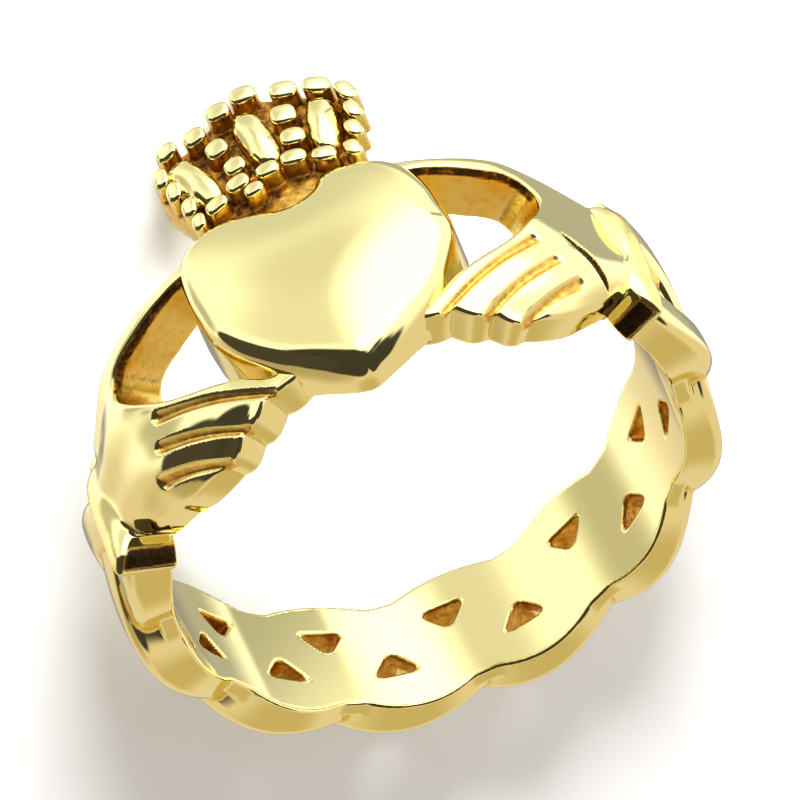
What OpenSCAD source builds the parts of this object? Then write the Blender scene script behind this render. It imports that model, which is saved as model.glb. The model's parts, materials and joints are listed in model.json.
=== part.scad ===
/* [Finger hole] */
// Diameter of the finger hole
bore_d = 19; // [15:0.5:22]

/* [Braided band] */
// Wall of the band opposite the heart, from the finger hole out to the crossings
band_wall = 1.65; // [1.3:0.05:2]
// How much thicker the wall would be at the heart: the band thickens evenly towards it
shoulder_gain = 0.3; // [0:0.05:0.8]
// How far the strands swing to each side of the band's middle line
plait_swing = 1.87; // [1.6:0.01:2]
// Width of one strand
strand_w = 1.85; // [1.6:0.05:2.1]
// Turns of one strand round the whole circle
plait_turns = 4; // [3:1:5]
// Angle by which the braid is turned round the finger
plait_phase = 10; // [0:1:30]
// Half width of the flat web that joins the strands inside
web_half_w = 2.3; // [1.8:0.05:2.4]

/* [Hands and cuffs] */
// Height of the backs of the hands above the finger hole
hand_rise = 2.5; // [1.8:0.05:2.8]
// Height of the rails above the finger hole
rail_rise = 2.1; // [1.6:0.05:2.4]
// Height of the cuffs above the finger hole
cuff_rise = 2.62; // [2.2:0.02:3]
// Angle from the heart's middle to the start of each cuff
cuff_start = 56; // [52:1:58]
// Angle that each cuff covers
cuff_span = 8; // [5:0.5:10]
// Depth of the grooves between the fingers
groove_depth = 0.45; // [0.2:0.05:0.6]

/* [Heart] */
// Overall width of the heart
heart_w = 9.5; // [8:0.1:10.5]
// Height of the heart's rim above the finger hole
heart_rim_rise = 1.2; // [1:0.05:1.6]
// Height of the heart's middle above its rim
heart_dome = 1.25; // [0.6:0.05:1.6]

/* [Crown] */
// Distance from the band's middle line to the crown's tip
crown_reach = 9.1; // [8:0.1:10]
// Thickness of the crown's plate
crown_plate = 1.0; // [0.8:0.05:1.4]
// Height of the beads above the plate
bead_rise = 0.55; // [0.3:0.05:0.8]

/* [Hidden] */

bore_r = bore_d / 2;
// The casting's rough hole is this much smaller than the finger hole, on the radius
rough_bore = 0.12;
// Every layer starts a little inside the rough hole, at its own depth, and that hole trims them all
function root(layer) = bore_r - 0.25 - 0.06 * layer;
root_web = root(1);
root_strand = root(0);
root_head = root(2);
root_cuff = root(3);
root_crown = root(4);
gold = [0.91, 0.80, 0.48];

// The braid: strand k swings between both edges and is high where it comes in from an edge
strand_count = 3;
strand_t = 1.0;
strand_lift = 0.2;
function strand_mid_r(angle) =
    bore_r + band_wall + shoulder_gain * (1 + cos(angle)) / 2 - strand_t / 2 - strand_lift;
band_from = cuff_start + cuff_span - 0.5;
band_step = 6.1;
// Each strand starts and ends a little further under the cuffs, so that no two ends or sections coincide
strand_stagger = 0.37;
web_from = cuff_start + 4.6;
web_step = 5.3;
web_r = bore_r + 0.65;

// Openwork of the braid: middle angle from the heart, and the side that the base of the triangle faces
holes = [[92, 1], [121, 1], [153, 1], [185, 1], [213, 1], [241, 1], [269, 1],
         [108, -1], [135, -1], [170, -1], [200, -1], [226, -1], [249, -1]];
hole_half_angle = 4.3;
// Half outline of one hole: share of its half angle, distance from the band's middle line
hole_outline = [[1, 1.22], [0.85, 0.9], [0.2, 0.3]];
// The openwork lies a little towards the crown
hole_shift = 0.12;

// Side outline of the hands, by angle from the heart's middle: the edge at the heart's point and its height
//            angle  edge_y  edge_rise
front_edge = [[0, -4.2], [10, -3.95], [15, -3.85], [18, -3.95], [22, -4.2], [26, -4.4], [30, -4.6],
              [38, -4.6], [43, -4.35], [50, -3.6], [56, -2.95], [62, -2.6]];
front_rise = [[0, 1.2], [10, 1.4], [14, 1.5], [20, 1.5], [25, 1.35], [30, 1.15], [44, 1.1], [50, 1.0],
              [62, 0.9]];
// Edge at the crown's side and its height, and the crest of the rail beside it
back_edge = [[0, 3.1], [20, 3.08], [28, 2.92], [36, 2.85], [43, 2.75], [50, 2.6], [62, 2.4]];
back_rise = 1.3;
rail_share = [[0, 1], [41, 1], [46, 0.92], [50, 0.85], [56, 0.75], [62, 0.65]];
// Height of the middle of the section, by angle, as a share of the hands' height
mid_share = [[0, 0.45], [12, 0.5], [18, 0.72], [24, 0.9], [30, 0.98], [36, 1], [44, 0.97], [50, 0.92],
             [62, 0.86]];
head_to = cuff_start + cuff_span - 2.6;
head_steps = 48;
// Dome of a section, by share of its width: the share of the full height
dome_shares = [[0.1, 0.52], [0.22, 0.85], [0.38, 1], [0.6, 0.97]];
// Crest of the rail, by share of the width: the share of the rail's height
crest_shares = [[0.84, 0.99], [0.94, 0.97]];

// Profile of a cuff along the finger, from the heart's side, and its rounded lip round the finger
//              y     change_of_height
cuff_profile = [[-3.4, -1.2], [-3.35, -0.55], [-3.0, -0.12], [-2.3, 0], [-1.4, -0.03], [0, -0.28],
                [0.8, -0.5], [1.5, -0.85], [2.2, -1.25], [2.6, -1.6]];
cuff_foot = [-2.9, 2.6];
//               share_of_angle  change_of_height
cuff_stations = [[0, -0.35], [0.2, -0.3], [0.42, -0.04], [0.6, 0], [0.82, -0.12], [1, -0.75]];

// Scalloped ends of the fingers on the front wall
knuckle_from = 12.5;
knuckle_pitch = 6.3;
knuckle_count = 3;
knuckle_depth = 0.2;

// The pierced window beside the heart, corner by corner
//               angle  y
window_corners = [[14, -3.05], [21.5, -2.7], [32.5, -1.65], [38.5, -0.65], [41.3, 0.2], [42.6, 0.9],
                  [42, 1.4], [40, 1.7], [34, 1.85], [14, 1.9]];

// Grooves between the fingers, from the wrist end to the tip end
//          angle_1  y_1  angle_2  y_2
grooves = [[36.2, -2.1, 17, -4.0], [38.4, -3.0, 23.5, -4.45], [41.5, -3.75, 29.5, -4.7]];
groove_half_w = 0.24;

// Heart outline: two arcs and the round of the point, drawn for a heart 9.5 wide
//             centre_x  centre_y  radius
heart_lobe = [2.2, 1.55, 2.1];
heart_side = [1.75, 0.1, 3.0];
heart_tip = [0, -4.35, 0.95];
heart_cleft_y = 2.9;
heart_k = heart_w / (2 * (heart_side[0] + heart_side[2]));
heart_mid_y = -0.6;
// Rings of the heart's dome: share of its height, share of its outline
heart_rings = [[0, 1], [0.32, 0.972], [0.58, 0.92], [0.78, 0.83], [0.91, 0.66], [0.98, 0.38]];

// Crown: half width, lower edge and tip edge of the fan
//             x    y_low  y_tip (as a share of the crown's reach)
crown_fan = [[0, 2.4, 0.985], [0.9, 2.4, 0.985], [1.7, 2.4, 0.935], [2.6, 2.6, 0.915], [3.0, 4.6, 0.885],
             [3.4, 5.9, 0.845], [3.75, 7.0, 0.785]];
//            base_x  base_y  tip_x  tip_y  half_w
petals = [[-1.95, 5.05, -2.85, 7.4, 0.5], [0.25, 5.45, 0.15, 8.2, 0.55], [2.0, 5.05, 2.85, 7.4, 0.5]];
// Beads and bars of the crown: middle, half length across, half length along the finger, turn
beads = [
    [-2.75, 8.0, 0.36, 0.28, 15], [-1.7, 8.15, 0.36, 0.28, 10], [-0.7, 8.7, 0.38, 0.28, 5],
    [0.4, 8.9, 0.42, 0.28, 0], [1.65, 8.3, 0.42, 0.3, -5], [2.85, 7.9, 0.44, 0.28, -10],
    [-3.45, 7.2, 0.26, 0.26, 0], [-3.3, 6.3, 0.28, 0.26, 0],
    [-2.98, 5.2, 0.28, 0.26, 0], [-2.85, 4.45, 0.26, 0.24, 0],
    [3.6, 7.1, 0.28, 0.3, 0], [3.45, 6.15, 0.28, 0.3, 0],
    [3.2, 5.25, 0.28, 0.28, 0], [2.92, 4.5, 0.26, 0.26, 0],
    [-1.3, 7.3, 0.36, 0.3, 8], [-0.95, 6.2, 0.4, 0.3, 8],
    [1.42, 7.45, 0.4, 0.3, -8], [1.38, 6.2, 0.42, 0.3, -8],
    [-2.2, 4.8, 0.4, 0.24, 10], [-1.12, 5.25, 0.42, 0.26, 8], [0, 5.3, 0.42, 0.26, 0],
    [1.1, 5.3, 0.42, 0.26, -8], [2.1, 4.95, 0.4, 0.24, -10]];
bead_sides = 6;
petal_rise = 0.7;

// At rest the heart's point is up, and the ring lies on the crown's flat tip and the braid's far edge
// Each of the two is a distance along the finger and a distance from the bore's axis
rest_tip = [crown_reach * crown_fan[1][2], sqrt(bore_r * bore_r - crown_fan[1][0] * crown_fan[1][0])];
rest_edge = [plait_swing + strand_w / 2, bore_r + band_wall - 0.55 * strand_t - strand_lift];
rest_tilt = atan((rest_tip[0] - rest_edge[0]) / (rest_tip[1] + rest_edge[1]));
rest_lift = rest_tip[0] * cos(rest_tilt) - rest_tip[1] * sin(rest_tilt);
// Moves the middle of the ring's outer box over the origin
rest_shift = -1.14;

// Point at an angle from the head, a place along the finger and a distance from the bore's axis
function at(angle, y, r) = [r * sin(angle), y, r * cos(angle)];
function mix(a, b, t) = a + (b - a) * t;
function arc(c, a0, a1, n) =
    [for (i = [0:n]) let (a = mix(a0, a1, i / n)) [c[0] + c[2] * cos(a), c[1] + c[2] * sin(a)]];

function strand_angle(k, angle) = plait_turns * (angle - plait_phase) + 360 / strand_count * k;
function strand_y(k, angle) = plait_swing * sin(strand_angle(k, angle));
function strand_r(k, angle) = strand_mid_r(angle) - strand_lift * sin(2 * strand_angle(k, angle));
// A strand is wider along the finger where it runs at a slant
function strand_slant(k, angle) =
    let (m = plait_swing * plait_turns * cos(strand_angle(k, angle)) / strand_mid_r(angle))
    sqrt(1 + m * m);
// Section of a strand, by share of its half width: the share of its rise above the middle radius
strand_section = [[-1, -0.1], [-0.8, 0.6], [-0.3, 1], [0.3, 1], [0.8, 0.6], [1, -0.1]];
function strand_ring(k, angle) =
    let (y = strand_y(k, angle), r = strand_r(k, angle), half = strand_w / 2 * strand_slant(k, angle))
    concat(
        [at(angle, y - half, root_strand)],
        [for (s = strand_section) at(angle, y + half * s[0], r + strand_t / 2 * s[1])],
        [at(angle, y + half, root_strand)]);

function knuckle(t) =
    t > knuckle_from && t < knuckle_from + knuckle_pitch * knuckle_count ?
    knuckle_depth * abs(sin(180 * (t - knuckle_from) / knuckle_pitch)) : 0;
function head_front(t) = lookup(t, front_edge) - knuckle(t);
// Section of a hand and its rail at an angle: distance along the finger, distance from the bore's axis
function head_section(t) =
    let (front = head_front(t), back = lookup(t, back_edge), rise = lookup(t, front_rise))
    concat(
        [[front, bore_r + rise]],
        [for (d = dome_shares) [mix(front, back, d[0]),
            bore_r + mix(mix(rise, back_rise, d[0]), hand_rise * lookup(t, mid_share), d[1])]],
        [for (c = crest_shares) [mix(front, back, c[0]), bore_r + rail_rise * lookup(t, rail_share) * c[1]]],
        [[back, bore_r + back_rise]]);
function head_ring(angle) =
    let (section = head_section(abs(angle)), last = len(section) - 1)
    concat(
        [at(angle, section[0][0], root_head)],
        [for (p = section) at(angle, p[0], p[1])],
        [at(angle, section[last][0], root_head)]);

function cuff_ring(angle, change) = concat(
    [at(angle, cuff_foot[0], root_cuff)],
    [for (p = cuff_profile) at(angle, p[0], bore_r + cuff_rise + p[1] + change)],
    [at(angle, cuff_foot[1], root_cuff)]);

function right_heart() = concat(
    [[0, heart_cleft_y]],
    arc(heart_lobe, 138, 19, 8),
    arc(heart_side, 19, -47, 6),
    arc(heart_tip, -47, -85, 3));
function heart_outline() =
    let (half = right_heart())
    concat(half, [for (i = [len(half) - 1:-1:1]) [-half[i][0], half[i][1]]]);
function heart_ring(share, z) =
    [for (p = heart_outline()) [p[0] * heart_k * share, (mix(heart_mid_y, p[1], share)) * heart_k, z]];

function plate_z(x) = sqrt(pow(bore_r + crown_plate, 2) - x * x);
function crown_ring(side, row) =
    let (x = side * row[0], top = plate_z(x), low = sqrt(root_crown * root_crown - x * x))
    [[x, row[1], low], [x, row[1], top], [x, row[2] * crown_reach, top], [x, row[2] * crown_reach, low]];

// Closed skin through a list of rings with the same number of points
module loft(rings) {
    n = len(rings[0]);
    last = len(rings) - 1;
    points = [for (ring = rings) each ring];
    sides = [for (j = [0:last - 1], i = [0:n - 1]) let (a = j * n + i, b = j * n + (i + 1) % n)
        each [[a, b, b + n], [a, b + n, a + n]]];
    ends = [[for (i = [n - 1:-1:0]) i], [for (i = [0:n - 1]) last * n + i]];
    polyhedron(points, concat(sides, ends), convexity = 6);
}

module strand(k) {
    from = band_from - strand_stagger * k;
    to = 360 - band_from + strand_stagger * (strand_count - k);
    steps = round((to - from) / band_step);
    loft([for (j = [0:steps]) strand_ring(k, mix(from, to, j / steps))]);
}

module web() {
    steps = round((360 - 2 * web_from) / web_step);
    loft([for (j = [0:steps]) let (angle = mix(web_from, 360 - web_from, j / steps))
        [at(angle, -web_half_w, root_web), at(angle, -web_half_w, web_r),
         at(angle, web_half_w, web_r), at(angle, web_half_w, root_web)]]);
}

// One rounded triangle of the braid's openwork, with its point towards the other edge
module braid_hole(angle, side) {
    outline = concat(
        [for (i = [len(hole_outline) - 1:-1:0]) [-hole_outline[i][0], hole_outline[i][1]]],
        hole_outline);
    loft([for (r = [bore_r - 1, bore_r + 3])
        [for (p = outline) at(angle + p[0] * hole_half_angle * side, p[1] * side + hole_shift, r)]]);
}

module braided_band() {
    color(gold) difference() {
        union() {
            web();
            for (k = [0:strand_count - 1]) strand(k);
        }
        for (h = holes) braid_hole(h[0], h[1]);
    }
}

module both_sides() {
    children();
    mirror([1, 0, 0]) children();
}

module hands_and_rails() {
    color(gold) difference() {
        loft([for (j = [0:head_steps]) head_ring(mix(-head_to, head_to, j / head_steps))]);
        both_sides() {
            window();
            for (g = grooves) groove(g);
        }
    }
}

module window() {
    loft([for (r = [bore_r + 4, bore_r - 1]) [for (c = window_corners) at(c[0], c[1], r)]]);
}

// A furrow that follows the back of a hand, shallow at both ends
module groove(g) {
    steps = 8;
    loft([for (j = [0:steps])
        let (t = j / steps, angle = mix(g[0], g[2], t), y = mix(g[1], g[3], t),
             r = lookup(y, head_section(angle)), sink = groove_depth * (0.25 + 0.75 * sin(180 * t)),
             half = groove_half_w * (0.6 + 0.4 * sin(180 * t)))
        [at(angle, y + half, r + 0.2), at(angle, y - half, r + 0.2), at(angle, y, r - sink)]]);
}

module cuffs() {
    color(gold) both_sides()
        loft([for (s = cuff_stations) cuff_ring(cuff_start + cuff_span * s[0], s[1])]);
}

module heart() {
    rim_z = bore_r + heart_rim_rise;
    color(gold) loft(concat(
        [heart_ring(1, root_crown - 1.2)],
        [for (s = heart_rings) heart_ring(s[1], rim_z + heart_dome * s[0])]));
}

module crown() {
    color(gold) {
        loft(concat(
            [for (i = [len(crown_fan) - 1:-1:1]) crown_ring(-1, crown_fan[i])],
            [for (row = crown_fan) crown_ring(1, row)]));
        for (p = petals) petal(p);
        for (b = beads) bead(b);
    }
}

module petal(p) {
    x = (p[0] + p[2]) / 2;
    y = (p[1] + p[3]) / 2;
    dx = p[2] - p[0];
    dy = p[3] - p[1];
    translate([x, y, plate_z(x)])
        rotate([0, 0, atan2(dy, dx)])
        scale([norm([dx, dy]) / 2 + 0.15, p[4], petal_rise])
        sphere(1, $fn = 10);
}

module bead(b) {
    translate([b[0], b[1], plate_z(b[0]) + bead_rise / 2])
        rotate([0, 0, b[4]])
        scale([b[2], b[3], bead_rise])
        sphere(1, $fn = bead_sides);
}

// The whole casting as one skin, with a rough hole that the true finger hole then opens to size
module casting() {
    difference() {
        union() {
            braided_band();
            hands_and_rails();
            cuffs();
            heart();
            crown();
        }
        rotate([90, 0, 0]) cylinder(h = 40, r = bore_r - rough_bore, center = true, $fn = 72);
    }
}

module ring() {
    color(gold)
        translate([0, rest_shift, rest_lift])
        rotate([rest_tilt - 90, 0, 0])
        difference() {
            resize([0, 0, 0]) casting();
            rotate([90, 0, 0]) cylinder(h = 40, r = bore_r, center = true, $fn = 96);
        }
}

ring();
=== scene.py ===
import json
import math
import bpy
import numpy as np
from mathutils import Matrix, Vector


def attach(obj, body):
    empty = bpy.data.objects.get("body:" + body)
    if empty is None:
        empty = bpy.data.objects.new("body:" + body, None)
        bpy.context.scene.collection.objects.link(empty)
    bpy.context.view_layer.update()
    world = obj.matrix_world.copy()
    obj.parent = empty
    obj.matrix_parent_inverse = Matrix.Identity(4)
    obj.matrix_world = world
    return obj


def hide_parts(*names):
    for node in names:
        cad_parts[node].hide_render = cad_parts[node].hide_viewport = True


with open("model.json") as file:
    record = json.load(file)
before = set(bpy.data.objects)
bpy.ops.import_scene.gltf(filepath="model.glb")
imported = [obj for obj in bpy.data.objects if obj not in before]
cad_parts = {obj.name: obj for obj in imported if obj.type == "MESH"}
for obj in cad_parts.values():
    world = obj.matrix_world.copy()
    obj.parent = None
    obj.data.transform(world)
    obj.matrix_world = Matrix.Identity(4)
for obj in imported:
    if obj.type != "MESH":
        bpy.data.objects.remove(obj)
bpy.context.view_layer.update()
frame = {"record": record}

# Lengths below are millimetres in the ring's own frame: x runs across the hands, y along the finger
# towards the crown, z out through the heart, and the origin is the middle of the finger hole.
# Angles are degrees round the finger, from the heart towards +x.
MM = 0.001
# A distance from an edge that stands for none near
far = 9.0

bore_mount = frame["record"]["mounts"][0]
bore_r = bore_mount["dims"]["r_mm"]
finger_up = Vector(bore_mount["axis"])
ring_y = -finger_up
ring_z = Vector((1, 0, 0)).cross(ring_y)
to_world = Matrix((
    (1, ring_y.x, ring_z.x, bore_mount["pos_m"][0]),
    (0, ring_y.y, ring_z.y, bore_mount["pos_m"][1]),
    (0, ring_y.z, ring_z.z, bore_mount["pos_m"][2]),
    (0, 0, 0, 1)))

# Braided band
band_wall = 1.65
shoulder_gain = 0.3
plait_swing = 1.87
strand_w = 1.85
strand_t = 1.0
strand_lift = 0.2
strand_corner = 0.42
strand_crown = 0.08
strand_blend = 0.1
strand_count = 3
plait_turns = 4
plait_phase = 10
web_half_w = 2.3
web_r = bore_r + 0.65
web_fillet = 0.2
bore_fillet = 0.16
# The band starts inside the cuffs, at this angle, with end faces that slope by this much a degree
band_from = 64.3
band_end_slope = 0.19

# Middle angle of each hole of the braid, and the side that its base faces
holes = [[92, 1], [121, 1], [153, 1], [185, 1], [213, 1], [241, 1], [269, 1],
         [108, -1], [135, -1], [170, -1], [200, -1], [226, -1], [249, -1]]
hole_half_w = 0.74
hole_base_y = 1.22
hole_top_y = 0.28
hole_shift = 0.12
# Steepness of a hole's slanted sides, along the band and across it
hole_slant = (0.77, 0.64)
hole_slant_from = 1.0
hole_fillet = 0.12
# Rounding of a hole's corners at its base and at its tip, and the radius that its outline is kept at
hole_base_corner = 0.35
hole_tip_corner = 0.2
hole_r = bore_r + 0.4

# Hands and cuffs
hand_rise = 2.5
rail_rise = 2.1
back_rise = 1.3
cuff_to = 66
front_fillet = 0.22
back_fillet = 0.3
cuff_end_fillet = 0.12
window_fillet = 0.26
# Angles between which a hand passes into its cuff
cuff_way = (58.5, 63)
# Front and back edges and the height at the front: angle and value, with a notch before the cuff's lip
front_edge = [[0, -4.2], [10, -3.95], [15, -3.85], [18, -3.95], [22, -4.2], [26, -4.4], [30, -4.6],
              [38, -4.6], [43, -4.35], [50, -3.6], [55, -3.0], [58, -2.62], [59.6, -2.45], [60.5, -2.1],
              [61.3, -2.3], [62.3, -2.68], [63.6, -2.88], [65, -3.05], [69, -3.1]]
front_rise = [[0, 1.2], [10, 1.4], [14, 1.5], [20, 1.5], [25, 1.35], [30, 1.15], [44, 1.1], [50, 1.0],
              [69, 0.95]]
back_edge = [[0, 3.1], [20, 3.08], [28, 2.92], [36, 2.85], [43, 2.75], [50, 2.6], [57, 2.38], [62, 2.32],
             [69, 2.4]]
rail_share = [[0, 0.42], [11, 0.42], [16, 0.95], [19, 1], [41, 1], [46, 0.95], [50, 0.88], [56, 0.8],
              [69, 0.76]]
mid_share = [[0, 0.45], [12, 0.5], [18, 0.72], [24, 0.9], [30, 0.98], [36, 1], [44, 0.97], [50, 0.9],
             [56, 0.8], [69, 0.74]]
# Across a hand, from its front edge (0) to the rail's back (1): how much the hand and the rail show
hand_share = [[0, 0], [0.04, 0.24], [0.1, 0.52], [0.22, 0.85], [0.38, 1], [0.6, 0.97], [0.72, 0.5],
              [0.84, 0], [1, 0]]
crest_share = [[0, 0], [0.6, 0], [0.72, 0.5], [0.84, 0.99], [0.94, 0.97], [1, 0.75]]
knuckle_from = 11.5
knuckle_pitch = 7.2
knuckle_count = 3
knuckle_depth = 0.25
knuckle_fade = 0.5

# Window beside the heart: angle and y of each corner
window = [[14, -3.05], [21.5, -2.7], [32.5, -1.65], [38.8, -0.65], [42.2, 0.15], [43.9, 0.75],
          [44.2, 1.2], [43.2, 1.6], [41, 1.85], [35, 1.97], [14, 2.0]]
# Grooves between the fingers: angle and y at the wrist end and at the tip end
grooves = [[37.2, -1.7, 17, -4.0], [39.8, -2.65, 24.5, -4.45], [44, -3.4, 31.5, -4.75]]
groove_half_w = 0.2
groove_depth = 0.19
groove_narrowing = 0.4
# Slit between the right hand and its wrist, which has painted shade in it: angle and y of its points
slit = [[44, -1.15], [47.2, -1.85], [50.5, -2.5], [53.6, -2.85]]
slit_half_w = 0.24
slit_depth = 0.16
# Slope of their sides: distances to the edge between which they sink
groove_side = (-0.16, 0.1)
slit_side = (-0.2, 0.05)
# Nearly flat side of the right wrist, past the slit: the angle that it faces, how flat it is, its lean along
# the finger, its distance from the middle of the hole, and the angles between which it rises to the cuff
wrist_faces = 63
wrist_flat = 0.8
wrist_lean = 0.1
wrist_reach = 11.13
wrist_ends = [61, 64.5]
wrist_blend = 0.08
# Where there is no flat side, it counts as lying this far out
no_flat = 99

# Cuffs: height over the angle, and its change along the finger
cuff_rise = [[56, 1.75], [62, 1.9], [64, 2.02], [65.5, 2.06], [69, 2.0]]
cuff_profile = [[-3.4, -0.25], [-2.6, -0.03], [-1.5, 0], [0.8, 0], [1.6, -0.15], [2.3, -0.55], [2.8, -0.9]]
# Slope of the cuffs along the finger, which is up on the right and down on the left
cuff_lean = 0.09
# How much lower the left shoulder of the ring sits, and the angles between which it does
left_drop = 0.38
left_drop_from = [[46, 58], [95, 120]]

# Heart: x and y round its outline, from the cleft over the right lobe to the point and back
heart_line = [[0.1, 2.88], [0.6, 2.95], [1.0, 3.15], [1.22, 3.5], [1.65, 3.8], [2.3, 3.9], [3.07, 3.74],
              [3.83, 3.27], [4.4, 2.5], [4.72, 1.5], [4.84, 0.4], [4.8, -0.6], [4.58, -1.35], [4.2, -2.05],
              [3.6, -2.95], [2.85, -3.75], [2.05, -4.38], [1.3, -4.86], [0.7, -5.16], [0.1, -5.42],
              [-0.4, -5.36], [-0.95, -5.05], [-1.55, -4.6], [-2.5, -3.78], [-3.4, -2.72], [-3.92, -1.95],
              [-4.32, -1.0], [-4.45, 0.05], [-4.5, 1.0], [-4.4, 2.05], [-4.1, 2.9], [-3.6, 3.4],
              [-3.0, 3.62], [-2.35, 3.7], [-1.7, 3.6], [-1.0, 3.36], [-0.35, 3.02]]
heart_rim_z = bore_r + 1.62
heart_dome = 0.83
# Width of the rounded rim, how much wider it is at the point and round the right lobe, and how far the
# point's underside clears the bore
heart_rim_w = 0.68
heart_point_gain = 0.45
heart_lobe_gain = 0.5
heart_point_lift = 0.4
# Where those changes start and are full: y for the point and its underside, x and y for the lobe
heart_point_from = (-2.6, -4.8)
heart_lift_from = (-3.2, -4.8)
heart_lobe_x = (1.2, 2.6)
heart_lobe_y = (-1.5, 0.8)
underside_fillet = 0.12
# The undersides of the heart and the crown lie this far outside the hands', so that one of them shows
heart_inset = 0.02
crown_inset = 0.04

# Crown: half width, lower edge and tip edge of its fan
crown_fan = [[0, 2.4, 8.7], [0.9, 2.4, 8.7], [1.7, 2.4, 8.3], [2.6, 2.6, 8.1], [3.0, 4.3, 7.95],
             [3.4, 5.6, 7.6], [3.75, 6.6, 7.1]]
crown_r = bore_r + 1.0
crown_edge_fillet = 0.2
crown_blend = 0.08
# Petals: x and y of both ends, and half width
petals = [[-2.05, 4.95, -2.8, 7.35, 0.56], [0.28, 5.35, 0.0, 7.85, 0.58], [2.25, 5.0, 2.68, 7.3, 0.55]]
petal_rise = 0.85
petal_dome = 0.3
petal_overrun = 0.15
bead_rise = 0.82
bead_dome = 0.05
bead_blend = 0.05
# Squareness of beads and petals in plan, how deep they are rooted, and their rounding
stud_power = 2.6
stud_root = 0.25
stud_foot_fillet = 0.1
stud_top_fillet = 0.14
# Beads and bars: x, y, half length, half width and turn
beads = [
    [-2.86, 8.02, 0.42, 0.33, 12], [-1.75, 7.88, 0.42, 0.37, 8], [-0.65, 8.38, 0.45, 0.37, 3],
    [0.38, 8.62, 0.49, 0.37, -4], [1.73, 8.12, 0.49, 0.39, -10], [2.85, 7.88, 0.49, 0.37, -18],
    [3.68, 7.28, 0.32, 0.49, 15], [3.62, 6.3, 0.3, 0.44, 8], [3.34, 5.38, 0.3, 0.41, 8],
    [3, 4.45, 0.3, 0.39, 8], [-3.42, 7.15, 0.29, 0.44, -10], [-3.22, 6.25, 0.3, 0.44, -8],
    [-2.98, 5.2, 0.3, 0.41, -8], [-2.9, 4.35, 0.28, 0.37, -8], [-1.25, 6.85, 0.42, 0.41, 8],
    [-0.95, 5.72, 0.4, 0.37, 8], [-1.12, 4.92, 0.45, 0.34, 8], [-0.72, 4.3, 0.38, 0.29, 8],
    [1.35, 7, 0.47, 0.44, -8], [1.3, 5.85, 0.45, 0.39, -8], [1, 4.9, 0.47, 0.34, -8],
    [0, 4.85, 0.45, 0.32, 0], [2, 4.55, 0.45, 0.32, -10], [-2.1, 4.55, 0.45, 0.32, 10]]


def smooth_min(a, b, width):
    """The lower of a and b, blended where they are closer than width."""
    h = np.clip(0.5 + 0.5 * (b - a) / width, 0, 1)
    return b + (a - b) * h - width * h * (1 - h)


def smooth_max(a, b, width):
    return -smooth_min(-a, -b, width)


def ramp(low, high, value):
    """0 below low, 1 above high, with a smooth rise between."""
    t = np.clip((value - low) / (high - low), 0, 1)
    return t * t * (3 - 2 * t)


def curve(rows, blur=0.0, samples=1500):
    """A smooth curve through a short table of place and value, as a function of the place."""
    place, value = np.array(rows, float).T
    slope = np.gradient(value, place)
    at = np.linspace(place[0], place[-1], samples)
    i = np.clip(np.searchsorted(place, at, side="right") - 1, 0, len(place) - 2)
    gap = place[i + 1] - place[i]
    t = (at - place[i]) / gap
    out = ((1 + 2 * t) * (1 - t) ** 2 * value[i] + t * (1 - t) ** 2 * gap * slope[i]
           + t * t * (3 - 2 * t) * value[i + 1] + t * t * (t - 1) * gap * slope[i + 1])
    if blur:
        step = at[1] - at[0]
        reach = int(3 * blur / step) + 1
        kernel = np.exp(-0.5 * (np.arange(-reach, reach + 1) * step / blur) ** 2)
        kernel /= kernel.sum()
        out = np.convolve(np.pad(out, reach, mode="edge"), kernel, mode="valid")
    return lambda v: np.interp(v, at, out)


def segment_distance(px, py, ax, ay, bx, by):
    """Distance to a segment, and the share of the way along it."""
    dx, dy = bx - ax, by - ay
    t = np.clip(((px - ax) * dx + (py - ay) * dy) / (dx * dx + dy * dy), 0, 1)
    return np.hypot(px - ax - t * dx, py - ay - t * dy), t


def outline_distance(px, py, corners):
    """Distance to a closed outline, negative inside it."""
    best = np.full(np.shape(px), 1e9)
    inside = np.zeros(np.shape(px), bool)
    for (ax, ay), (bx, by) in zip(corners, corners[1:] + corners[:1]):
        best = np.minimum(best, segment_distance(px, py, ax, ay, bx, by)[0])
        crossing = (ay > py) != (by > py)
        if ay != by:
            inside ^= crossing & (px < ax + (py - ay) * (bx - ax) / (by - ay))
    return np.where(inside, -best, best)


def polar(x, z):
    return np.degrees(np.arctan2(x, z)), np.hypot(x, z)


def rounded_top(across, height, half_w, half_t, corner, crown):
    """A strand's section: rounded upper corners and a slightly domed top, with straight sides below."""
    side = np.abs(across) - (half_w - corner)
    top = height - (half_t - corner) + crown * (across / half_w) ** 2
    return np.minimum(np.maximum(side, top), 0) + np.hypot(np.maximum(side, 0), np.maximum(top, 0)) - corner


def hole_distance(phi, y):
    """Distance along the band's surface to the nearest of the braid's holes, negative inside one."""
    best = np.full(np.shape(phi), far)
    for angle, side in holes:
        along = np.abs(np.radians(phi - angle) * hole_r)
        out = (y - hole_shift) * side
        slant = (along - hole_half_w) * hole_slant[0] - (out - hole_slant_from) * hole_slant[1]
        shape = smooth_max(slant, out - hole_base_y, hole_base_corner)
        shape = smooth_max(shape, hole_top_y - out, hole_tip_corner)
        best = np.minimum(best, shape)
    return best


def with_drop(phi, y):
    """y on the even ring, for a y on the real one, whose left shoulder sits lower."""
    start, end = left_drop_from
    return y + left_drop * (ramp(*start, -phi) - ramp(*end, -phi))


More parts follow.
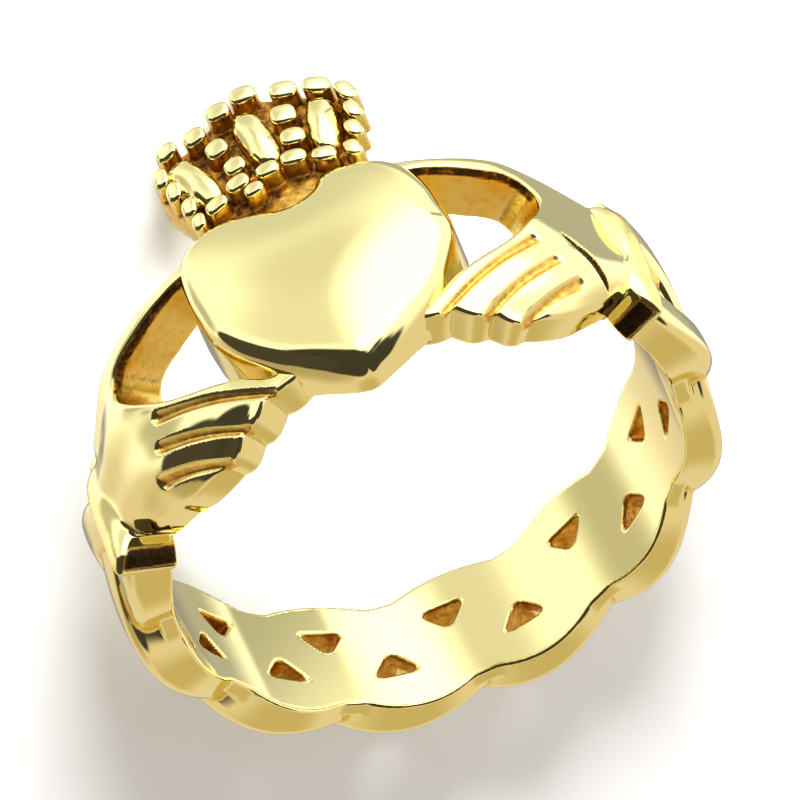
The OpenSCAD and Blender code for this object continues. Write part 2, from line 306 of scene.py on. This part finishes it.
def band_layers(x, y, z):
    phi, r = polar(x, z)
    y = with_drop(phi - 360 * (phi > 90), y)
    phi = phi % 360
    shoulder = shoulder_gain * (1 + np.cos(np.radians(phi))) / 2
    base_r = bore_r + band_wall + shoulder - strand_t / 2 - strand_lift
    strands = np.full(np.shape(phi), far)
    second = strands
    for k in range(strand_count):
        turn = np.radians(plait_turns * (phi - plait_phase) + 360 / strand_count * k)
        mid_r = base_r - strand_lift * np.sin(2 * turn)
        slope = plait_swing * plait_turns * np.cos(turn) / mid_r
        across = (y - plait_swing * np.sin(turn)) / np.sqrt(1 + slope * slope)
        one = rounded_top(across, r - mid_r, strand_w / 2, strand_t / 2, strand_corner, strand_crown)
        second = np.minimum(second, np.maximum(one, strands))
        strands = smooth_min(strands, one, strand_blend)
    web = smooth_max(r - web_r, np.abs(y) - web_half_w, web_fillet)
    hole = hole_distance(phi, y)
    return phi, r, strands, second, web, hole


def band_field(x, y, z):
    phi, r, strands, second, web, hole = band_layers(x, y, z)
    skin = smooth_max(smooth_min(strands, web, strand_blend), bore_r - r, bore_fillet)
    skin = smooth_max(skin, -hole, hole_fillet)
    return np.maximum(skin, (band_from - np.minimum(phi, 360 - phi)) * band_end_slope)


# Strength of the painted shade in the band's recesses, which also makes them satin: on the cut walls of its
# holes, and in the creases where strands cross
hole_wall_shade = 0.58
crease_shade = 0.4


def band_shade_and_satin(x, y, z):
    """Share of painted shade and satin at each point: the holes' walls, and where two strands' surfaces come
    near.
    """
    phi, r, strands, second, web, hole = band_layers(x, y, z)
    # Painted shade in the creases where strands cross and on the holes' cut walls
    crease = (1 - ramp(0.02, 0.16, second)) * (r > bore_r + 0.3)
    cut = 1 - ramp(0.03, 0.1, np.abs(hole))
    return np.maximum(hole_wall_shade * cut, crease_shade * crease) * (r > bore_r + 0.03)


def closed_spline(corners, parts):
    """Points of a smooth closed line through the corners."""
    p = np.array(corners, float)
    t = np.linspace(0, 1, parts, endpoint=False)[:, None]
    out = []
    for i in range(len(p)):
        a, b, c, d = p[i - 1], p[i], p[(i + 1) % len(p)], p[(i + 2) % len(p)]
        tangent_b = (c - a) / 2
        tangent_c = (d - b) / 2
        out.extend((1 + 2 * t) * (1 - t) ** 2 * b + t * (1 - t) ** 2 * tangent_b
                   + t * t * (3 - 2 * t) * c + t * t * (t - 1) * tangent_c)
    return [tuple(q) for q in out]


def softened(values, sigma):
    """values, a grid, blurred with a bell curve of sigma cells."""
    reach = int(3 * sigma) + 1
    kernel = np.exp(-0.5 * (np.arange(-reach, reach + 1) / sigma) ** 2)
    kernel /= kernel.sum()
    for axis in (0, 1):
        values = np.moveaxis(values, axis, 0)
        padded = np.pad(values, ((reach, reach), (0, 0)), mode="edge")
        values = sum(k * padded[i:i + len(values)] for i, k in enumerate(kernel))
        values = np.moveaxis(values, 0, axis)
    return values


def relief_map(function, low, high, blur, cell=0.04):
    """function of two coordinates, kept on a fine grid and blurred, as a smooth function of the same two."""
    counts = [int((b - a) / cell) + 1 for a, b in zip(low, high)]
    u, v = [a + cell * np.arange(n) for a, n in zip(low, counts)]
    grid = softened(function(*np.meshgrid(u, v, indexing="ij")), blur / cell)

    def weights(t):
        return (((-t + 2) * t - 1) * t / 2, ((3 * t - 5) * t * t + 2) / 2,
                ((-3 * t + 4) * t + 1) * t / 2, (t - 1) * t * t / 2)

    def sample(x, y):
        a = np.clip((x - low[0]) / cell, 1, counts[0] - 3.001)
        b = np.clip((y - low[1]) / cell, 1, counts[1] - 3.001)
        i, j = a.astype(int), b.astype(int)
        across, along = weights(a - i), weights(b - j)
        total = 0
        for m in range(4):
            for n in range(4):
                total = total + across[m] * along[n] * grid[i + m - 1, j + n - 1]
        return total
    return sample


front_at = curve(front_edge, 0.35)
front_rise_at = curve(front_rise, 0.8)
back_at = curve(back_edge, 1.0)
rail_at = curve(rail_share, 1.0)
mid_at = curve(mid_share, 1.5)
hand_at = curve(hand_share, 0.02)
crest_at = curve(crest_share, 0.02)
cuff_rise_at = curve(cuff_rise, 0.4)
cuff_profile_at = curve(cuff_profile, 0.08)
# Places on the hands are kept as lengths round the finger at this radius
surface_r = bore_r + 1.5
per_degree = math.radians(surface_r)
window_line = [(a * per_degree, b) for a, b in closed_spline(window, 4)]


def knuckle(t):
    wave = np.abs(np.sin(np.pi * (t - knuckle_from) / knuckle_pitch))
    shown = ramp(knuckle_from - knuckle_fade, knuckle_from + knuckle_fade, t)
    shown = shown * (1 - ramp(-knuckle_fade, knuckle_fade, t - knuckle_from - knuckle_pitch * knuckle_count))
    return knuckle_depth * wave * shown


def head_top(s, y):
    t = np.abs(s) / per_degree
    front, back = front_at(t), back_at(t)
    share = np.clip((y - front) / (back - front), 0, 1)
    rise = front_rise_at(t) * (1 - share) + back_rise * share
    hand, crest = hand_at(share), crest_at(share)
    top = rise * (1 - hand - crest) + hand_rise * mid_at(t) * hand + rail_rise * rail_at(t) * crest
    cuff = cuff_rise_at(t) + cuff_profile_at(y) + cuff_lean * y * np.sign(s)
    way = ramp(*cuff_way, t)
    flat = (wrist_reach - wrist_lean * y) / np.cos(np.radians(wrist_flat * (t - wrist_faces)))
    flat = np.where(s > 0, flat + ramp(*wrist_ends, t), no_flat)
    return smooth_min(bore_r + top * (1 - way) + cuff * way, flat, wrist_blend)


def window_distance(s, y):
    return outline_distance(np.abs(s), y, window_line)


def groove_distance(s, y):
    """Distance to the nearest groove's edge, negative inside it. Grooves narrow towards the finger tips."""
    best = np.full(np.shape(s), far)
    for t0, y0, t1, y1 in grooves:
        q, way = segment_distance(np.abs(s), y, t0 * per_degree, y0, t1 * per_degree, y1)
        best = np.minimum(best, q - groove_half_w * (1 - groove_narrowing * way))
    return best


def slit_distance(s, y):
    best = np.full(np.shape(s), far)
    count = len(slit) - 1
    for k in range(count):
        (t0, y0), (t1, y1) = slit[k:k + 2]
        q, way = segment_distance(s, y, t0 * per_degree, y0, t1 * per_degree, y1)
        along = (k + way) / count
        best = np.minimum(best, q - slit_half_w * np.sqrt(4 * along * (1 - along)))
    return best


head_low, head_high = (-69 * per_degree, -5.8), (69 * per_degree, 3.8)
head_top_map = relief_map(head_top, head_low, head_high, 0.1)
window_map = relief_map(window_distance, head_low, head_high, 0.06)
groove_map = relief_map(groove_distance, head_low, head_high, 0.03)
slit_map = relief_map(slit_distance, head_low, head_high, 0.03)


def head_layers(x, y, z):
    phi, r = polar(x, z)
    y = with_drop(phi, y)
    t = np.abs(phi)
    s = phi * per_degree
    groove, dark = groove_map(s, y), slit_map(s, y)
    sunk = groove_depth * (1 - ramp(*groove_side, groove))
    slot = slit_depth * (1 - ramp(*slit_side, dark))
    top = head_top_map(s, y) - sunk - slot
    metal = smooth_max(r - top, front_at(t) - knuckle(t) - y, front_fillet)
    metal = smooth_max(metal, y - back_at(t), back_fillet)
    metal = smooth_max(metal, (t - cuff_to) * per_degree, cuff_end_fillet)
    return t, y, r, top, metal, groove, dark, window_map(s, y)


def head_field(x, y, z):
    t, y, r, top, metal, groove, dark, opening = head_layers(x, y, z)
    return smooth_max(smooth_max(metal, -opening, window_fillet), bore_r - r, bore_fillet)


# Strength of the painted shade on the hands, which also makes them satin: on the windows' walls, as a painted
# shadow line below their upper rim, in the grooves and the slit, on the front of the cuff's lip; and the
# satin finish of the cuff's back
window_wall_shade = 0.37
window_rim_shadow = 0.95
groove_shade = 0.5
slit_shade = 1.2
lip_shade = 1.1
satin_depth = 0.18


def between(low, high, value):
    """1 inside a range, 0 outside it. low and high are each the two ends of a smooth edge."""
    return ramp(*low, value) * (1 - ramp(*high, value))


def head_shade_and_satin(x, y, z):
    """Share of painted shade and satin at each point, with deep as the distance below the outer surface."""
    t, y, r, top, metal, groove, dark, opening = head_layers(x, y, z)
    deep = top - r
    # Painted shade on the windows' walls, and a painted shadow line just below their upper rim
    wall = 1 - ramp(0.03, 0.12, np.abs(opening))
    cut = window_wall_shade * wall * ramp(0.2, 0.4, deep)
    shadow = window_rim_shadow * wall * between((0.04, 0.1), (0.36, 0.46), deep) * ramp(0.9, 1.3, y)
    # Painted shade in the grooves, in the slit and on the front of the cuff's lip; satin finish on the cuff's
    # back
    furrow = groove_shade * (1 - ramp(-0.05, 0.02, groove)) * (deep < 0.3)
    sliver = slit_shade * (1 - ramp(-0.06, 0.0, dark)) * (deep < 0.3)
    lip = lip_shade * between((61.6, 62.3), (64.4, 64.9), t) * ramp(0.12, 0.3, deep) * ramp(-2.0, -2.4, y)
    satin = satin_depth * between((62, 63), (65.3, 65.7), t) * (deep < 0.15)
    layers = np.stack([cut, shadow, furrow, sliver, lip, satin])
    return layers.max(axis=0) * (r > bore_r + 0.05)


heart_corners = closed_spline(heart_line, 4)


def heart_edge(x, y):
    return outline_distance(x, y, heart_corners)


# The pillow reaches this far past the outline, and this many rounds of smoothing blow it up
pillow_margin = 0.35
pillow_rounds = 9000


def heart_pillow(x, y):
    """Height of a skin blown up over the heart's outline, as a share of its highest point."""
    inside = heart_edge(x, y) < pillow_margin
    height = np.zeros(np.shape(x))
    for _ in range(pillow_rounds):
        near = height[2:, 1:-1] + height[:-2, 1:-1] + height[1:-1, 2:] + height[1:-1, :-2]
        height[1:-1, 1:-1] = np.where(inside[1:-1, 1:-1], near / 4 + 1, 0)
    return height / height.max()


heart_low, heart_high = (-5.6, -6.2), (5.6, 4.5)
heart_edge_map = relief_map(heart_edge, heart_low, heart_high, 0.06, 0.05)
heart_pillow_map = relief_map(heart_pillow, heart_low, heart_high, 0.18, 0.1)


def heart_field(x, y, z):
    rim = heart_rim_w + heart_point_gain * ramp(*heart_point_from, y)
    rim = rim + heart_lobe_gain * ramp(*heart_lobe_x, x) * ramp(*heart_lobe_y, y)
    skin = smooth_max(z - heart_rim_z - heart_dome * heart_pillow_map(x, y), heart_edge_map(x, y), rim)
    under = bore_r + heart_inset + heart_point_lift * ramp(*heart_lift_from, y)
    return smooth_max(skin, under - np.hypot(x, z), underside_fillet)


def heart_shade_and_satin(x, y, z):
    """None: the heart is polished all over."""
    return np.zeros(np.shape(x))


def stud(x, y, z, half_x, half_y, top, dome):
    """A raised bead or petal: rounded in plan, with a slightly domed top and round upper edges."""
    share = (np.abs(x / half_x) ** stud_power + np.abs(y / half_y) ** stud_power) ** (1 / stud_power)
    block = smooth_max((share - 1) * min(half_x, half_y), -stud_root - z, stud_foot_fillet)
    return smooth_max(block, z - top + dome * np.minimum(share, 1.5) ** 2, stud_top_fillet)


def turned(x, y, cx, cy, degrees):
    c, s = math.cos(math.radians(degrees)), math.sin(math.radians(degrees))
    return (x - cx) * c + (y - cy) * s, (y - cy) * c - (x - cx) * s


crown_outline = [(x, tip) for x, low, tip in crown_fan]
crown_outline += [(x, low) for x, low, tip in reversed(crown_fan)]
crown_outline += [(-x, low) for x, low, tip in crown_fan[1:]]
crown_outline += [(-x, tip) for x, low, tip in reversed(crown_fan[1:])]


def crown_edge(x, y):
    return outline_distance(x, y, crown_outline)


crown_edge_map = relief_map(crown_edge, (-4.6, 1.6), (4.6, 10), 0.08)


def crown_layers(x, y, z):
    r = np.hypot(x, z)
    plate = smooth_max(r - crown_r, crown_edge_map(x, y), crown_edge_fillet)
    relief = np.full(np.shape(x), far)
    for ax, ay, bx, by, half in petals:
        px, py = turned(x, y, (ax + bx) / 2, (ay + by) / 2, math.degrees(math.atan2(by - ay, bx - ax)))
        length = math.hypot(bx - ax, by - ay) / 2 + petal_overrun
        relief = np.minimum(relief, stud(px, py, r - crown_r, length, half, petal_rise, petal_dome))
    for cx, cy, half_x, half_y, degrees in beads:
        px, py = turned(x, y, cx, cy, degrees)
        bead = stud(px, py, r - crown_r, half_x, half_y, bead_rise, bead_dome)
        relief = smooth_min(relief, bead, bead_blend)
    return r, plate, relief


def crown_field(x, y, z):
    r, plate, relief = crown_layers(x, y, z)
    skin = smooth_min(plate, relief, crown_blend)
    return smooth_max(skin, bore_r + crown_inset - r, underside_fillet)


# Strength of the painted shade on the crown, which also makes it satin: on the sides of its beads and on its
# plate close to them, how much less the plate gets away from them, and the share that is lost at its outer
# edge
bead_side_shade = 0.55
plate_shade = 0.78
plate_shade_fade = 0.25
crown_edge_shade_loss = 0.5


def crown_shade_and_satin(x, y, z):
    """Share of painted shade and satin at each point, by its height over the plate."""
    r, plate, relief = crown_layers(x, y, z)
    height = r - crown_r
    # Painted shade on the beads' sides and on the plate at their feet, with less at the plate's outer edge
    side = bead_side_shade * (1 - ramp(0.3, 0.62, height))
    foot = (plate_shade - plate_shade_fade * ramp(0.2, 0.4, relief)) * (1 - ramp(0.02, 0.24, height))
    inner = 1 - crown_edge_shade_loss * ramp(-0.2, 0, crown_edge_map(x, y))
    return np.maximum(side, foot) * inner * (r > bore_r + 0.1)


def part(array, axis, start, stop):
    cut = [slice(None)] * 3
    cut[axis] = slice(start, stop)
    return array[tuple(cut)]


def surface_net(field, place, low, high, step):
    """Points and quads of the surface where field is zero. place turns grid coordinates into x, y, z."""
    counts = [int(round((b - a) / s)) + 1 for a, b, s in zip(low, high, step)]
    axes = [np.linspace(a, b, n) for a, b, n in zip(low, high, counts)]
    value = field(*place(*np.meshgrid(*axes, indexing="ij")))
    inside = value < 0
    cells = tuple(n - 1 for n in counts)
    shift = np.zeros(cells + (3,))
    hits = np.zeros(cells)
    crossings = []
    for axis in range(3):
        lower, upper = part(value, axis, None, -1), part(value, axis, 1, None)
        cross = part(inside, axis, None, -1) != part(inside, axis, 1, None)
        way = np.where(cross, lower / np.where(cross, lower - upper, 1), 0)
        crossings.append(cross)
        b, c = [a for a in range(3) if a != axis]
        for db in (0, 1):
            for dc in (0, 1):
                near = part(part(cross, b, db, cells[b] + db), c, dc, cells[c] + dc)
                shift[..., axis] += part(part(way, b, db, cells[b] + db), c, dc, cells[c] + dc)
                shift[..., b] += near * db
                shift[..., c] += near * dc
                hits += near
    used = hits > 0
    number = np.full(cells, -1)
    number[used] = np.arange(used.sum())
    spacing = [a[1] - a[0] for a in axes]
    grid = (np.argwhere(used) + shift[used] / hits[used][:, None]) * spacing + np.array(low)
    points = np.stack(place(*grid.T), axis=1)
    quads = []
    for axis in range(3):
        b, c = [a for a in range(3) if a != axis]
        inner = part(part(crossings[axis], b, 1, -1), c, 1, -1)
        start = part(part(part(inside, axis, None, -1), b, 1, -1), c, 1, -1)[inner]
        at = np.argwhere(inner)
        ring_cells = []
        for db, dc in ((0, 0), (1, 0), (1, 1), (0, 1)):
            move = np.zeros(3, int)
            move[b], move[c] = db, dc
            ring_cells.append(number[tuple((at + move).T)])
        quad = np.stack(ring_cells, axis=1)
        flip = start if axis == 1 else ~start
        quad[flip] = quad[flip][:, ::-1]
        quads.append(quad)
    return points, np.concatenate(quads)


def gradient(field, points, reach=0.012):
    out = np.zeros_like(points)
    for axis in range(3):
        move = np.zeros(3)
        move[axis] = reach
        out[:, axis] = (field(*(points + move).T) - field(*(points - move).T)) / (2 * reach)
    return out


# Each point of a mesh moves onto the exact surface in this many steps, each no longer than this. Where the
# surface is creased, its slope's square counts as no less than this.
settle_steps = 3
longest_move = 0.05
least_slope = 0.05


def cast(name, field, shade_and_satin, place, low, high, step, material):
    """One piece of the casting: the mesh of its field, each point set exactly on the surface."""
    points, quads = surface_net(field, place, low, high, step)
    for _ in range(settle_steps):
        slope = gradient(field, points)
        move = -field(*points.T)[:, None] * slope / np.maximum((slope ** 2).sum(1), least_slope)[:, None]
        length = np.linalg.norm(move, axis=1, keepdims=True)
        points = points + move * np.minimum(1, longest_move / np.maximum(length, 1e-9))
    normals = gradient(field, points)
    normals /= np.maximum(np.linalg.norm(normals, axis=1, keepdims=True), 1e-9)
    mesh = bpy.data.meshes.new(name)
    mesh.from_pydata((points * MM).tolist(), [], quads.tolist())
    mesh.transform(to_world)
    turn = np.array(to_world.to_3x3())
    mesh.polygons.foreach_set("use_smooth", [True] * len(mesh.polygons))
    mesh.normals_split_custom_set_from_vertices((normals @ turn.T).tolist())
    # Each point's share of painted shade and satin, which the material reads
    mark = mesh.attributes.new("shade_and_satin", "FLOAT", "POINT")
    mark.data.foreach_set("value", shade_and_satin(*points.T).astype(np.float32))
    mesh.materials.append(material)
    piece = bpy.data.objects.new(name, mesh)
    bpy.context.scene.collection.objects.link(piece)
    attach(piece, "root")
    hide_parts("ring")


def from_polar(phi, y, r):
    turn = np.radians(phi)
    return r * np.sin(turn), y, r * np.cos(turn)


def from_box(x, y, z):
    return x, y, z


def node(tree, kind, **inputs):
    made = tree.nodes.new(kind)
    for name, value in inputs.items():
        made.inputs[name.replace("_", " ")].default_value = value
    return made


# Colour of the polished gold, and of the painted shade in its recesses from shallow to deep: share of the
# depth and tone
polished_gold = (0.95, 0.86, 0.40)
shade_tones = [(0.38, (0.96, 0.69, 0.18)), (0.62, (0.63, 0.30, 0.035)), (0.85, (0.09, 0.05, 0.018))]
deepest_shade = (0.05, 0.03, 0.012)


def gold_material():
    material = bpy.data.materials.new("gold_tone")
    material.use_nodes = True
    tree = material.node_tree
    tree.nodes.clear()
    out = tree.nodes.new("ShaderNodeOutputMaterial")
    shader = node(tree, "ShaderNodeBsdfPrincipled", Metallic=1.0)
    tree.links.new(shader.outputs["BSDF"], out.inputs["Surface"])
    mark = tree.nodes.new("ShaderNodeAttribute")
    mark.attribute_name = "shade_and_satin"
    where = tree.nodes.new("ShaderNodeTexCoord")
    grain = node(tree, "ShaderNodeTexNoise", Scale=3200, Detail=5, Roughness=0.6)
    tree.links.new(where.outputs["Object"], grain.inputs["Vector"])
    blotch = node(tree, "ShaderNodeMapRange", From_Min=0.3, From_Max=0.7, To_Min=0.72, To_Max=1.25)
    tree.links.new(grain.outputs["Fac"], blotch.inputs["Value"])
    depth = tree.nodes.new("ShaderNodeMath")
    depth.operation = "MULTIPLY"
    depth.use_clamp = True
    tree.links.new(mark.outputs["Fac"], depth.inputs[0])
    tree.links.new(blotch.outputs["Result"], depth.inputs[1])
    # The ramp paints shade: the larger the share, the darker and browner the gold
    tint = tree.nodes.new("ShaderNodeValToRGB")
    tint.color_ramp.elements[0].color = (*polished_gold, 1)
    tint.color_ramp.elements[1].color = (*deepest_shade, 1)
    for depth_share, tone in shade_tones:
        tint.color_ramp.elements.new(depth_share).color = (*tone, 1)
    tree.links.new(depth.outputs["Value"], tint.inputs["Fac"])
    tree.links.new(tint.outputs["Color"], shader.inputs["Base Color"])
    rough = node(tree, "ShaderNodeMapRange", From_Max=0.5, To_Min=0.06, To_Max=0.36)
    tree.links.new(mark.outputs["Fac"], rough.inputs["Value"])
    tree.links.new(rough.outputs["Result"], shader.inputs["Roughness"])
    bump = node(tree, "ShaderNodeBump", Distance=0.00008)
    tree.links.new(mark.outputs["Fac"], bump.inputs["Strength"])
    tree.links.new(grain.outputs["Fac"], bump.inputs["Height"])
    tree.links.new(bump.outputs["Normal"], shader.inputs["Normal"])
    return material


gold = gold_material()
# Spacing of the meshes, and the radius at which it holds round the finger
fine = 0.1
finer = 0.08
middle_r = bore_r + 1.2
cast("braided_band", band_field, band_shade_and_satin, from_polar,
     (band_from - 1, -3.2, bore_r - 0.2), (361 - band_from, 3.2, bore_r + 2.4),
     (math.degrees(fine / middle_r), fine, fine), gold)
cast("hands_and_cuffs", head_field, head_shade_and_satin, from_polar,
     (-67.5, -5.4, bore_r - 0.2), (67.5, 3.5, bore_r + 3.0),
     (math.degrees(finer / middle_r), finer, finer), gold)
cast("heart", heart_field, heart_shade_and_satin, from_box,
     (-5.1, -5.7, bore_r - 1.6), (5.1, 3.9, bore_r + 2.8), (fine, fine, fine), gold)
cast("crown", crown_field, crown_shade_and_satin, from_box,
     (-4.2, 2.2, bore_r - 1.2), (4.2, 9.5, bore_r + 2.2), (finer, finer, finer), gold)

# Camera: the directions of the picture in the ring's frame, and the place that the picture was taken from
picture_right = Vector((0.902, -0.337, -0.270))
towards_camera = Vector((-0.028, -0.670, 0.742))
camera_offset = (-0.089, 2.142, 294.7)
focal_px = 8429
picture_px = 800
sensor_mm = 36


def picture_frame():
    """The picture's right, up and towards the camera, in the ring's frame, as exact unit vectors."""
    back = towards_camera.normalized()
    right = (picture_right - back * picture_right.dot(back)).normalized()
    return right, back.cross(right), back


def add_camera():
    data = bpy.data.cameras.new("camera")
    data.sensor_width = sensor_mm
    data.lens = focal_px / picture_px * sensor_mm
    data.clip_start = 0.01
    camera = bpy.data.objects.new("camera", data)
    bpy.context.scene.collection.objects.link(camera)
    right, up, back = picture_frame()
    place = (right * camera_offset[0] + up * camera_offset[1] + back * camera_offset[2]) * MM
    pose = Matrix((
        (right.x, up.x, back.x, place.x),
        (right.y, up.y, back.y, place.y),
        (right.z, up.z, back.z, place.z),
        (0, 0, 0, 1)))
    camera.matrix_world = to_world @ pose
    bpy.context.scene.camera = camera


def add_floor():
    size = 3.0
    mesh = bpy.data.meshes.new("floor")
    corners = [(-size, -size, 0), (size, -size, 0), (size, size, 0), (-size, size, 0)]
    mesh.from_pydata(corners, [], [(0, 1, 2, 3)])
    floor = bpy.data.objects.new("floor", mesh)
    bpy.context.scene.collection.objects.link(floor)
    material = bpy.data.materials.new("white_floor")
    material.use_nodes = True
    shader = material.node_tree.nodes["Principled BSDF"]
    shader.inputs["Base Color"].default_value = (0.9, 0.92, 0.95, 1)
    shader.inputs["Roughness"].default_value = 0.6
    mesh.materials.append(material)
    floor.visible_glossy = False


# Light round the ring, as seen in its mirror surface. Each patch is a colour and the discs whose overlap it
# fills. A disc is the degrees right and up of its middle from the camera's side, its radius and soft edge.
tent_color = (1.3, 1.3, 1.3)
tent_patches = [
    [(0.82, 0.70, 0.56), [(12, -98, 86, 10)]],
    [(0.62, 0.49, 0.28), [(30, -85, 24, 14)]],
    [(0.50, 0.49, 0.46), [(-60, 118, 49.5, 0.6), (22, -43, 133.7, 0.6), (52, 103, 18, 2)]],
    [(0.50, 0.49, 0.45), [(37, 148, 23, 4)]],
    [(0.60, 0.57, 0.50), [(-101, 23, 11, 8)]],
    [(0.92, 0.90, 0.84), [(-40, 54, 10, 9)]],
    [(0.84, 0.82, 0.77), [(-36, 76, 9, 9)]],
    [(0.76, 0.75, 0.71), [(-44, 111, 17, 15)]],
    [(2.4, 2.4, 2.4), [(18, 60, 33, 8)]],
    [(0.50, 0.40, 0.25), [(-62, -46, 24, 16)]],
    [(0.055, 0.048, 0.045), [(-16, -14, 44, 3)]],
    [(0.055, 0.048, 0.045), [(0, 1, 29, 2)]],
    [(0.055, 0.048, 0.045), [(33, -5, 20, 2)]],
    [(0.055, 0.048, 0.045), [(47, -13, 19, 2)]],
    [(0.055, 0.048, 0.045), [(24, 16, 6, 2)]],
    [(0.07, 0.06, 0.05), [(-66, -14, 28, 2)]],
    [(0.34, 0.32, 0.28), [(0, 180, 20, 9)]]]


def picture_direction(right_by, up_by):
    """World direction so many degrees to the picture's right and up from the direction of the camera."""
    right, up, back = picture_frame()
    away = math.radians(math.hypot(right_by, up_by))
    turn = math.atan2(up_by, right_by)
    local = back * math.cos(away) + (right * math.cos(turn) + up * math.sin(turn)) * math.sin(away)
    return (to_world.to_3x3() @ local).normalized()


def add_tent():
    world = bpy.data.worlds.new("tent")
    bpy.context.scene.world = world
    world.use_nodes = True
    tree = world.node_tree
    where = tree.nodes.new("ShaderNodeTexCoord")
    color = tree.nodes.new("ShaderNodeRGB")
    color.outputs["Color"].default_value = (*tent_color, 1)
    below = color.outputs["Color"]
    for tone, discs in tent_patches:
        share = None
        for right_by, up_by, radius, soft in discs:
            turn = tree.nodes.new("ShaderNodeVectorMath")
            turn.operation = "DOT_PRODUCT"
            tree.links.new(where.outputs["Generated"], turn.inputs[0])
            turn.inputs[1].default_value = picture_direction(right_by, up_by)
            disc = tree.nodes.new("ShaderNodeMapRange")
            disc.interpolation_type = "SMOOTHSTEP"
            disc.inputs["From Min"].default_value = math.cos(math.radians(radius + soft))
            disc.inputs["From Max"].default_value = math.cos(math.radians(max(radius - soft, 0)))
            tree.links.new(turn.outputs["Value"], disc.inputs["Value"])
            if share is None:
                share = disc.outputs["Result"]
            else:
                both = tree.nodes.new("ShaderNodeMath")
                both.operation = "MULTIPLY"
                tree.links.new(share, both.inputs[0])
                tree.links.new(disc.outputs["Result"], both.inputs[1])
                share = both.outputs["Value"]
        mix = tree.nodes.new("ShaderNodeMix")
        mix.data_type = "RGBA"
        mix.clamp_result = False
        tree.links.new(share, mix.inputs["Factor"])
        tree.links.new(below, mix.inputs["A"])
        mix.inputs["B"].default_value = (*tone, 1)
        below = mix.outputs["Result"]
    tree.links.new(below, tree.nodes["Background"].inputs["Color"])


# Metres from the middle of the finger hole to each lamp
lamp_distance = 0.4


def add_lamp(name, right_by, up_by, size, watts, shadow):
    data = bpy.data.lights.new(name, "AREA")
    data.shape = "DISK"
    data.size = size
    data.energy = watts
    data.use_shadow = shadow
    lamp = bpy.data.objects.new(name, data)
    bpy.context.scene.collection.objects.link(lamp)
    direction = picture_direction(right_by, up_by)
    lamp.location = to_world.translation + direction * lamp_distance
    lamp.rotation_euler = direction.to_track_quat("Z", "Y").to_euler()
    lamp.visible_glossy = False


def add_spot(name, reach_px, blend, watts):
    """A soft round light from the camera, without shadow, that whitens the floor seen through the ring."""
    data = bpy.data.lights.new(name, "SPOT")
    data.spot_size = 2 * math.atan(reach_px / focal_px)
    data.spot_blend = blend
    data.energy = watts
    data.use_shadow = False
    spot = bpy.data.objects.new(name, data)
    bpy.context.scene.collection.objects.link(spot)
    spot.matrix_world = bpy.context.scene.camera.matrix_world
    spot.visible_glossy = False


add_camera()
add_floor()
add_tent()
add_lamp("lamp", 3, 33, 0.12, 2.1, True)
add_lamp("fill", 15, -20, 0.5, 0.55, False)
add_spot("inner_fill", 300, 0.4, 2.9)
bpy.context.scene.view_settings.view_transform = "Standard"
